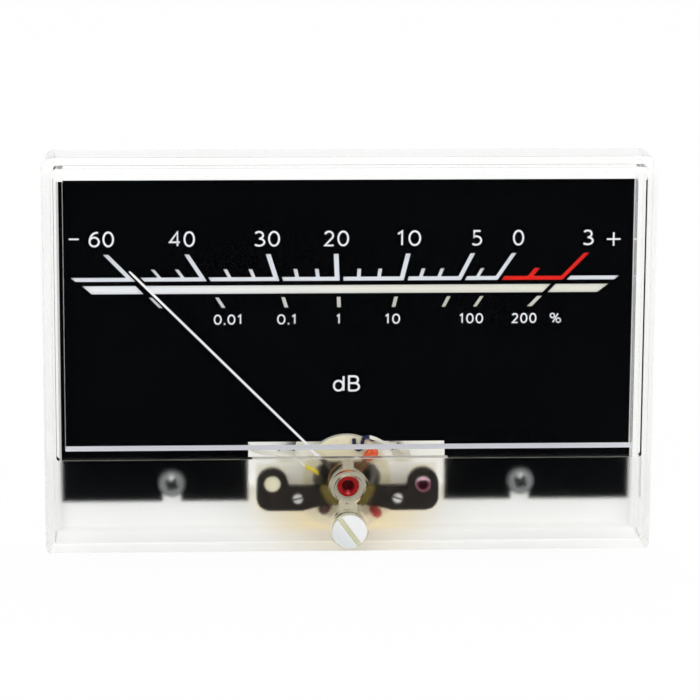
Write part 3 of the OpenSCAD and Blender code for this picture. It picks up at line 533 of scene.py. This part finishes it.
def pointer_paint():
    """White needle, dark brown near the pivot."""
    s = Shader("pointer_paint")
    x, _, z = s.axes()
    fine = s.noise(0.3, 3.0)
    near = s.fall(s.distance(x, z, PIVOT_Z), 5.5, 5.9)
    white = s.mottled(s.noise(3.0), (0.91, 0.91, 0.92), (0.95, 0.95, 0.96))
    return s.done(s.principled(
        Base_Color=s.mix(near, white, (0.045, 0.035, 0.022)), Roughness=s.remap(fine, 0.3, 0.4),
        Normal=s.bump(fine, 0.4, 0.004)))


def cream_moulding():
    """Cream plastic, yellower on the collar than on the plate behind the bridge, with a painted
    warm glow on the plate's lower part.
    """
    s = Shader("cream_moulding")
    _, y, z = s.axes()
    fine = s.noise(0.25, 4.0)
    collar = s.fall(y, 8.75, 8.95)
    # painted warm light on the lower part of the plate, which lies in shade: a warmer colour and a
    # glow
    low = s.product(s.fall(z, 6, 9, smooth=True), s.math("SUBTRACT", 1.0, collar))
    plate = s.mottled(s.noise(4.0), (0.93, 0.90, 0.80), (0.97, 0.95, 0.88))
    face = s.mottled(s.noise(2.0), (0.80, 0.73, 0.50), (0.88, 0.82, 0.60))
    base = s.mix(collar, s.mix(low, plate, (0.90, 0.81, 0.60)), face)
    return s.done(s.principled(
        Base_Color=base, Roughness=s.remap(fine, 0.34, 0.44), Emission_Color=base,
        Emission_Strength=s.product(low, 0.2), Normal=s.bump(fine, 0.5, 0.005)))


def wound(name, dark, bright, pitch, axis):
    """Fine turns side by side, running round the given axis."""
    s = Shader(name)
    wave_length = 0.314                       # of Blender's bands at scale 1
    wave = s.add("ShaderNodeTexWave", wave_type="BANDS", bands_direction=axis)
    s.put(wave.inputs["Vector"], s.coords)
    s.put(wave.inputs["Scale"], wave_length / (pitch * MM))
    s.put(wave.inputs["Distortion"], 0.4)
    turns = wave.outputs["Fac"]
    return s.done(s.principled(
        Base_Color=s.mix(turns, dark, bright), Roughness=s.remap(s.noise(0.3), 0.2, 0.4),
        Metallic=0.8, Coat_Weight=0.5, Coat_Roughness=0.1, Normal=s.bump(turns, 0.8, pitch / 3)))


MATERIALS = {
    "clear_plastic": clear_moulding(),
    "milky_plastic": milky_moulding(),
    "dial_film": scale_sheet(),
    "mask_black": black_film(),
    "screw_steel": finish_of("zinc_plate", (0.52, 0.53, 0.54), 0.3, 0.9, 1.2, 0.12),
    "bright_steel": finish_of("bright_steel", (0.68, 0.68, 0.69), 0.22, 1.0, 0.8, 0.08),
    "cream_plastic": cream_moulding(),
    "soft_iron": finish_of("soft_iron", (0.07, 0.055, 0.035), 0.45, 0.6, 1.0, 0.15),
    "magnet": finish_of("ground_magnet", (0.045, 0.04, 0.03), 0.35, 0.5, 0.8, 0.12,
                        stretch=(1, 8, 1)),
    "web_alloy": finish_of("cast_alloy", (0.20, 0.18, 0.13), 0.4, 0.8, 0.8, 0.1, depth=0.02),
    "bridge_paint": bridge_coat(),
    "brass": finish_of("brass", (0.80, 0.62, 0.30), 0.25, 1.0, 1.0, 0.1),
    # jewel screw: painted shade in its hollow, a painted orange highlight above, a painted glint
    # below
    "red_lacquer": lacquered_screw(
        "red_lacquer", JEWEL_SCREW, JEWEL_FACE, hollow=1.1,
        dark=(0.24, 0.006, 0.007), bright=(0.40, 0.014, 0.014), deep=(0.085, 0.001, 0.002),
        rim_highlight_color=(0.90, 0.32, 0.07), rim_highlight_rise=(1.5, 1.72),
        glint_color=(0.80, 0.10, 0.13), glint_rise=-1.15, glint_radius=0.45),
    "former_alloy": finish_of("former_alloy", (0.22, 0.19, 0.08), 0.3, 0.9, 1.0, 0.06),
    "copper_wire": wound("copper_turns", (0.20, 0.07, 0.03), (0.62, 0.28, 0.12), 0.12, "X"),
    "pivot_steel": finish_of("polished_steel", (0.75, 0.76, 0.78), 0.1, 1.0, 0.5, 0.04),
    "pointer_white": pointer_paint(),
    "weight_red": lacquer("weight_red", (0.35, 0.012, 0.012), (0.72, 0.06, 0.04)),
    "weight_orange": lacquer("weight_orange", (0.62, 0.05, 0.01), (0.90, 0.16, 0.03)),
    "weight_dark": lacquer("weight_dark", (0.05, 0.016, 0.012), (0.16, 0.05, 0.035)),
    "spring_bronze": finish_of("spring_bronze", (0.72, 0.46, 0.22), 0.22, 1.0, 1.0, 0.08),
    "white_nylon": finish_of("white_nylon", (0.90, 0.90, 0.86), 0.3, 0.0, 2.0, 0.03),
    "board": finish_of("white_board", (0.84, 0.86, 0.82), 0.4, 0.0, 5.0, 0.03),
    "lamp_lens": finish_of("lamp_lens", (0.94, 0.95, 0.86), 0.12, 0.0, 1.5, 0.03),
    "tinned": finish_of("tinned", (0.74, 0.73, 0.70), 0.3, 1.0, 0.8, 0.1),
    # past x_to the yellow wire is painted nearly black, a painted shade
    "wire_yellow": sleeved_wire("yellow_insulation", (0.86, 0.68, 0.02), (0.90, 0.88, 0.80),
                                (0.05, 0.04, 0.02), x_from=-6.9, x_to=-4.8, y_to=7.2),
    "wire_red": finish_of("red_insulation", (0.72, 0.06, 0.03), 0.4, 0.0, 2.0, 0.08),
    "wire_blue": sleeved_wire("blue_insulation", (0.008, 0.014, 0.07), (0.90, 0.88, 0.80),
                              (0.88, 0.86, 0.76), x_from=0.0, x_to=3.6, y_to=8.8),
}

# nodes that look darker or clearer than the rest of their material slot
OWN_LOOKS = {
    "balance_cross": finish_of("dark_bronze", (0.13, 0.085, 0.035), 0.35, 0.8, 0.8, 0.15),
    "dial_screws": capped_screw("dull_zinc", DIAL_SCREW),
    "pillar_screws": slotted_steel("dull_steel", (0.62, 0.61, 0.57), PILLAR_SCREW, PILLAR_FACE),
    "zero_adjuster": slotted_nylon("slotted_nylon", ADJUSTER_FACE),
    # ear screw: painted shade in its hollow, a painted pink highlight and glint above
    "ear_screw": lacquered_screw(
        "maroon_lacquer", EAR_SCREW, EAR_FACE, hollow=1.0,
        dark=(0.18, 0.06, 0.085), bright=(0.30, 0.13, 0.17), deep=(0.035, 0.001, 0.005),
        rim_highlight_color=(0.90, 0.60, 0.70), rim_highlight_rise=(0.3, 0.9),
        glint_color=(0.85, 0.50, 0.62), glint_rise=0.95, glint_radius=0.5),
    "zero_lever": clear_cream("clear_cream", (0.90, 0.85, 0.66), 0.48),
}


def dress(piece, *materials):
    piece.data.materials.clear()
    for material in materials:
        piece.data.materials.append(material)


for part in frame["record"]["subparts"]:
    dress(nodes[part["node"]], OWN_LOOKS.get(part["node"]) or MATERIALS[part["material_slot"]])


# ---------- new pieces ----------
def add_piece(name, bm, body, slot):
    mesh = bpy.data.meshes.new(name)
    bm.to_mesh(mesh)
    bm.free()
    piece = bpy.data.objects.new(name, mesh)
    bpy.context.scene.collection.objects.link(piece)
    dress(piece, MATERIALS[slot])
    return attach(piece, body)


def eased(node, name, radius, slot):
    """The CAD node's own shape on the housing, with its outer edges rounded by radius in mm."""
    bm = bmesh.new()
    bm.from_mesh(nodes[node].data)
    bmesh.ops.remove_doubles(bm, verts=bm.verts, dist=1e-6)
    bmesh.ops.dissolve_limit(bm, angle_limit=math.radians(0.5), verts=bm.verts, edges=bm.edges)
    sharp = [e for e in bm.edges if e.is_manifold and e.calc_face_angle(0) > math.radians(35)]
    bmesh.ops.bevel(bm, geom=sharp, offset=radius * MM, segments=3, profile=0.5,
                    affect="EDGES", clamp_overlap=True)
    for face in bm.faces:
        face.smooth = True
    for edge in bm.edges:
        if edge.is_manifold and edge.calc_face_angle(0) > math.radians(40):
            edge.smooth = False
    piece = add_piece(name, bm, "housing", slot)
    weighted = piece.modifiers.new("weighted", "WEIGHTED_NORMAL")
    weighted.weight = 100
    weighted.keep_sharp = True
    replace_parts(piece, node)
    return piece


# ---------- dial print ----------
def arc(cx, cz, rx, rz, start, end, steps=20):
    """Points of an elliptic arc, angles in degrees, counted anticlockwise from the right."""
    turn = [math.radians(start + (end - start) * k / steps) for k in range(steps + 1)]
    return [(cx + rx * math.cos(a), cz + rz * math.sin(a)) for a in turn]


# each sign's width as a share of its height, and its centre lines in a unit box
SIGNS = {
    "0": (0.69, [arc(0.5, 0.5, 0.5, 0.5, 0, 360, 40)]),
    "1": (0.46, [[(0.0, 0.80), (0.62, 1.0), (0.62, 0.0)]]),
    "2": (0.62, [arc(0.46, 0.71, 0.47, 0.29, 160, -32) + [(0.0, 0.0), (1.0, 0.0)]]),
    "3": (0.62, [arc(0.40, 0.755, 0.46, 0.245, 150, -90), arc(0.40, 0.255, 0.60, 0.255, 90, -140)]),
    "4": (0.72, [[(0.76, 0.0), (0.76, 1.0), (0.0, 0.28), (1.0, 0.28)]]),
    "5": (0.60, [[(0.90, 1.0), (0.16, 1.0), (0.12, 0.57)]
                 + arc(0.38, 0.31, 0.62, 0.31, 112, -135)]),
    "6": (0.67, [arc(0.5, 0.32, 0.5, 0.32, 0, 360, 40), arc(0.80, 0.32, 0.80, 0.66, 82, 180)]),
    ".": (0.16, [[(0.5, -0.1), (0.5, 0.1)]]),
    "%": (1.0, [arc(0.21, 0.76, 0.21, 0.24, 0, 360), arc(0.79, 0.24, 0.21, 0.24, 0, 360),
                [(0.24, 0.0), (0.76, 1.0)]]),
    "d": (0.66, [arc(0.46, 0.345, 0.46, 0.345, 0, 360, 32), [(0.96, 0.0), (0.96, 1.0)]]),
    "B": (0.66, [[(0.0, 0.0), (0.0, 1.0)] + arc(0.52, 0.76, 0.38, 0.24, 90, -90) + [(0.0, 0.52)],
                 [(0.0, 0.52)] + arc(0.54, 0.26, 0.46, 0.26, 90, -90) + [(0.0, 0.0)]]),
    "+": (1.0, [[(0.0, 0.5), (1.0, 0.5)], [(0.5, 0.0), (0.5, 1.0)]]),
    "-": (1.0, [[(0.0, 0.5), (1.0, 0.5)]]),
}
INK = 0.02                                    # thickness of the print in mm
INK_STEP = 0.005                              # more for each further stroke, so none are flush
SPACING = 0.16                                # gap between signs as a share of their height


def add_ribbon(bm, line, width, ink):
    """A flat stroke of the given width along points (x, z), ink thick on the dial's face, in mm."""
    closed = len(line) > 3 and (Vector(line[0]) - Vector(line[-1])).length < 1e-6
    points = [Vector(p) for p in (line[:-1] if closed else line)]
    count = len(points)
    rims = []
    for i, p in enumerate(points):
        before = points[i - 1] if closed or i > 0 else None
        after = points[(i + 1) % count] if closed or i < count - 1 else None
        a = (p - before).normalized() if before is not None else None
        b = (after - p).normalized() if after is not None else None
        a, b = a or b, b or a
        across = Vector((-(a + b).y, (a + b).x)).normalized()
        reach = width / 2 / max(0.5, across.dot(Vector((-a.y, a.x))))
        left, right = p + reach * across, p - reach * across
        rims.append([bm.verts.new((corner.x * MM, y * MM, corner.y * MM))
                     for corner, y in ((left, DIAL_Y - ink), (right, DIAL_Y - ink),
                                       (right, DIAL_Y), (left, DIAL_Y))])
    for i in range(count if closed else count - 1):
        here, there = rims[i], rims[(i + 1) % count]
        for k in range(4):
            bm.faces.new((here[k], there[k], there[(k + 1) % 4], here[(k + 1) % 4]))
    if not closed:
        bm.faces.new(rims[0])
        bm.faces.new(rims[-1][::-1])


def print_label(name, text, x0, x1, z0, z1, stroke):
    """A number in the box x0..x1, z0..z1 in mm, made of strokes of the given width."""
    height = z1 - z0
    gap = SPACING * height
    widths = [SIGNS[c][0] * height for c in text]
    scale = (x1 - x0) / (sum(widths) + gap * (len(text) - 1))
    bm = bmesh.new()
    x = x0
    for sign, width in zip(text, widths):
        across = width * scale
        for k, line in enumerate(SIGNS[sign][1]):
            points = [(x + stroke / 2 + u * (across - stroke),
                       z0 + stroke / 2 + v * (height - stroke)) for u, v in line]
            add_ribbon(bm, points, stroke, INK + INK_STEP * k)
        x += across + gap * scale
    bmesh.ops.recalc_face_normals(bm, faces=bm.faces)
    dress(add_piece(name, bm, "housing", "dial_film"), ink_white)


ink_white = finish_of("ink_white", (0.86, 0.865, 0.90), 0.5, 0.0, 2.0, 0.03)
UPPER_ROW = (47.97, 50.54)                    # low and high edge of the main numbers
LOWER_ROW = (35.21, 36.90)
for name, text, x0, x1, (z0, z1), stroke in (
        ("level_60", "60", -41.37, -37.32, UPPER_ROW, 0.31),
        ("level_40", "40", -28.57, -24.39, UPPER_ROW, 0.31),
        ("level_30", "30", -14.86, -10.78, UPPER_ROW, 0.31),
        ("level_20", "20", -3.72, 0.30, UPPER_ROW, 0.31),
        ("level_10", "10", 8.01, 11.87, UPPER_ROW, 0.31),
        ("level_5", "5", 20.06, 21.70, UPPER_ROW, 0.31),
        ("level_0", "0", 26.65, 28.48, UPPER_ROW, 0.31),
        ("level_3", "3", 38.01, 39.71, UPPER_ROW, 0.31),
        ("percent_hundredth", "0.01", -21.45, -16.78, LOWER_ROW, 0.25),
        ("percent_tenth", "0.1", -11.26, -8.03, LOWER_ROW, 0.25),
        ("percent_1", "1", -1.74, -0.93, LOWER_ROW, 0.25),
        ("percent_10", "10", 6.12, 8.60, LOWER_ROW, 0.25),
        ("percent_100", "100", 18.15, 22.03, LOWER_ROW, 0.25),
        ("percent_200", "200", 26.67, 30.68, LOWER_ROW, 0.25),
        ("percent_sign", "%", 32.81, 34.66, LOWER_ROW, 0.2),
        ("unit_db", "dB", -2.22, 2.18, (24.05, 26.74), 0.33),
        ("minus", "-", -44.65, -42.80, (48.49, 50.11), 0.27),
        ("plus", "+", 41.68, 44.20, (47.72, 50.20), 0.28)):
    print_label(name, text, x0, x1, z0, z1, stroke)

# ---------- lacquer on the balance weights ----------
REST_ANGLE = 45.3                             # pointer left of vertical at rest
PIVOT = Vector((0.0, 7.52, PIVOT_Z))          # at the depth of the balance cross
DROP_POWER = 2.6                              # fuller than an ellipsoid, whose power is 2
DROP_WAVE = 0.06                              # unevenness as a share of its size


def lacquer_blob(node, name, turn, center, half, depth, width, slot, seed):
    """An uneven drop of lacquer round a weight, turn in degrees from the pointer, lengths in mm."""
    bm = bmesh.new()
    bmesh.ops.create_icosphere(bm, subdivisions=4, radius=1.0)
    for v in bm.verts:
        p = v.co.normalized()
        full = sum(abs(c) ** DROP_POWER for c in p) ** (-1 / DROP_POWER)
        bumps = mnoise.noise(p * 1.7 + Vector((seed, 0, 0)))
        v.co = p * full * (1 - DROP_WAVE * (0.5 + 0.5 * bumps))
    angle = math.radians(turn - REST_ANGLE)
    for v in bm.verts:
        across, back, along = v.co.x * width, v.co.y * depth, center + v.co.z * half
        v.co = (PIVOT + Vector((along * math.sin(angle) + across * math.cos(angle), back,
                                along * math.cos(angle) - across * math.sin(angle)))) * MM
    for face in bm.faces:
        face.smooth = True
    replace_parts(add_piece(name, bm, "moving_element", slot), node)


lacquer_blob("tail_weight", "lacquer_tail", 184, 7.10, 1.15, 0.80, 0.84, "weight_red", 1.0)
lacquer_blob("right_weight", "lacquer_right", 86, 5.78, 1.35, 0.80, 1.00, "weight_orange", 4.0)
lacquer_blob("left_weight", "lacquer_left", -97, 5.78, 1.32, 0.80, 0.96, "weight_dark", 7.0)

# ---------- small screws, their slots turned as in the photograph ----------
SLOT_TURNS = (-76, -42)                       # degrees, left and right
bm = bmesh.new()
bm.from_mesh(nodes["pillar_screws"].data)
for v in bm.verts:
    middle = Vector((math.copysign(PILLAR_SCREW[0], v.co.x), 0.0, PILLAR_SCREW[1])) * MM
    turn = Matrix.Rotation(math.radians(SLOT_TURNS[v.co.x >= 0]), 3, "Y")
    middle.y = v.co.y
    v.co = middle + turn @ (v.co - middle)
pillar_heads = add_piece("pillar_heads", bm, "housing", "bright_steel")
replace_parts(pillar_heads, "pillar_screws")
dress(pillar_heads, OWN_LOOKS["pillar_screws"])

# ---------- mouldings with eased edges ----------
COVER_LOOKS = (MATERIALS["clear_plastic"], clear_faces(), frosted_ledge(),
               soft_edges("boss_edges", 1.04), window_edge(), skirt_haze(),
               soft_edges("window_edges", 1.2))
MOULDING, FACES, LEDGE, BOSS_EDGES, UNDERSIDE, SKIRT, WINDOW_EDGES = range(len(COVER_LOOKS))


def cover_look(center, area, normal):
    """Index of the look of a face of the cover, lengths in mm."""
    upright = abs(normal.y) > 0.999
    if upright and area > 1:
        return FACES
    if normal.z > 0.99 and area > 20 and -3 < center.y < 1.4 and center.z < 20:
        return LEDGE
    # both long edges under the window, and the underside between them
    if area > 3 and abs(center.z - WINDOW_LOW) < 0.3 and center.y < 0.3:
        return UNDERSIDE
    if upright:
        return MOULDING
    if area > 3 and center.z < 2:
        return SKIRT
    if center.y < 1.6 and abs(center.x) < 4 and center.z < 14:
        return BOSS_EDGES
    in_window = abs(center.x) < WINDOW_HALF + 0.3 and 15 < center.z < WINDOW_TOP + 0.3
    return WINDOW_EDGES if center.y < 1.0 and area < 15 and in_window else MOULDING


cover = eased("front_cover", "cover_moulding", 0.22, "clear_plastic")
dress(cover, *COVER_LOOKS)
for face in cover.data.polygons:
    face.material_index = cover_look(face.center / MM, face.area / MM ** 2, face.normal)
eased("rear_case", "case_moulding", 0.25, "milky_plastic")


# ---------- studio ----------
def aim(thing, place, target):
    thing.location = Vector(place)
    thing.rotation_euler = (Vector(target) - Vector(place)).to_track_quat("-Z", "Y").to_euler()


def softbox(name, place, size, watts):
    light = bpy.data.lights.new(name, "AREA")
    light.shape = "SQUARE"
    light.size = size
    light.energy = watts
    lamp = bpy.data.objects.new(name, light)
    bpy.context.scene.collection.objects.link(lamp)
    aim(lamp, place, (0, 0.01, 0.03))


def pale_floor():
    """Pale floor, white where it is seen as a background, also off a gloss or through glass."""
    s = Shader("pale_floor")
    base = s.mottled(s.noise(300.0), (0.92, 0.92, 0.92), (0.94, 0.94, 0.94))
    lit = s.principled(Base_Color=base, Roughness=0.8, Specular_IOR_Level=0.1)
    glow = s.add("ShaderNodeEmission")
    s.put(glow.inputs["Strength"], 1.0)
    path = s.add("ShaderNodeLightPath").outputs
    shown = s.largest(path["Is Camera Ray"], path["Is Glossy Ray"], path["Is Transmission Ray"])
    return s.done(s.blend(s.product(shown, 0.95), lit, glow.outputs[0]))


def studio_world():
    """Plain white light, at full strength where the world itself is seen."""
    s = Shader("studio", bpy.data.worlds)
    path = s.add("ShaderNodeLightPath").outputs
    shown = s.largest(path["Is Camera Ray"], path["Is Transmission Ray"])
    sky = s.add("ShaderNodeBackground")
    s.put(sky.inputs["Color"], (1.0, 1.0, 1.0))
    s.put(sky.inputs["Strength"], s.remap(shown, 0.79, 1.0, span=(0.0, 1.0)))
    return s.done(sky.outputs[0], "ShaderNodeOutputWorld")


bm = bmesh.new()
bmesh.ops.create_circle(bm, cap_ends=True, segments=96, radius=4.0)
floor_mesh = bpy.data.meshes.new("floor")
bm.to_mesh(floor_mesh)
bm.free()
floor = bpy.data.objects.new("floor", floor_mesh)
floor.location.z = cad_low.z - 0.02 * MM      # just under the meter
floor.data.materials.append(pale_floor())
bpy.context.scene.collection.objects.link(floor)

bpy.context.scene.world = studio_world()
softbox("key_lamp", (-0.45, -0.9, 0.85), 0.7, 2.8)
softbox("fill_lamp", (0.8, -0.7, 0.5), 0.6, 1.4)
softbox("top_lamp", (0.1, 0.5, 1.0), 0.6, 2.0)

# ---------- camera, fitted to the photograph ----------
AZIMUTH, ELEVATION, ROLL = -0.05017, 0.21713, -0.00486
DISTANCE = 541.14 * MM
LENS = 175.5                                  # for a 36 mm sensor
AIM = Vector((0.0404, 0.0, 33.07)) * MM
look = Vector((-math.sin(AZIMUTH) * math.cos(ELEVATION),
               math.cos(AZIMUTH) * math.cos(ELEVATION), -math.sin(ELEVATION)))
right = Vector((math.cos(AZIMUTH), math.sin(AZIMUTH), 0.0))
up = right.cross(look)
axis_x = math.cos(ROLL) * right - math.sin(ROLL) * up
axis_y = math.sin(ROLL) * right + math.cos(ROLL) * up
camera_data = bpy.data.cameras.new("camera")
camera_data.sensor_width = 36.0
camera_data.lens = LENS
camera_data.clip_start, camera_data.clip_end = 0.01, 20.0
camera = bpy.data.objects.new("camera", camera_data)
bpy.context.scene.collection.objects.link(camera)
camera.matrix_world = Matrix.Translation(AIM - DISTANCE * look) @ Matrix(
    (axis_x, axis_y, -look)).transposed().to_4x4()
bpy.context.scene.camera = camera
bpy.context.scene.view_settings.view_transform = "Standard"
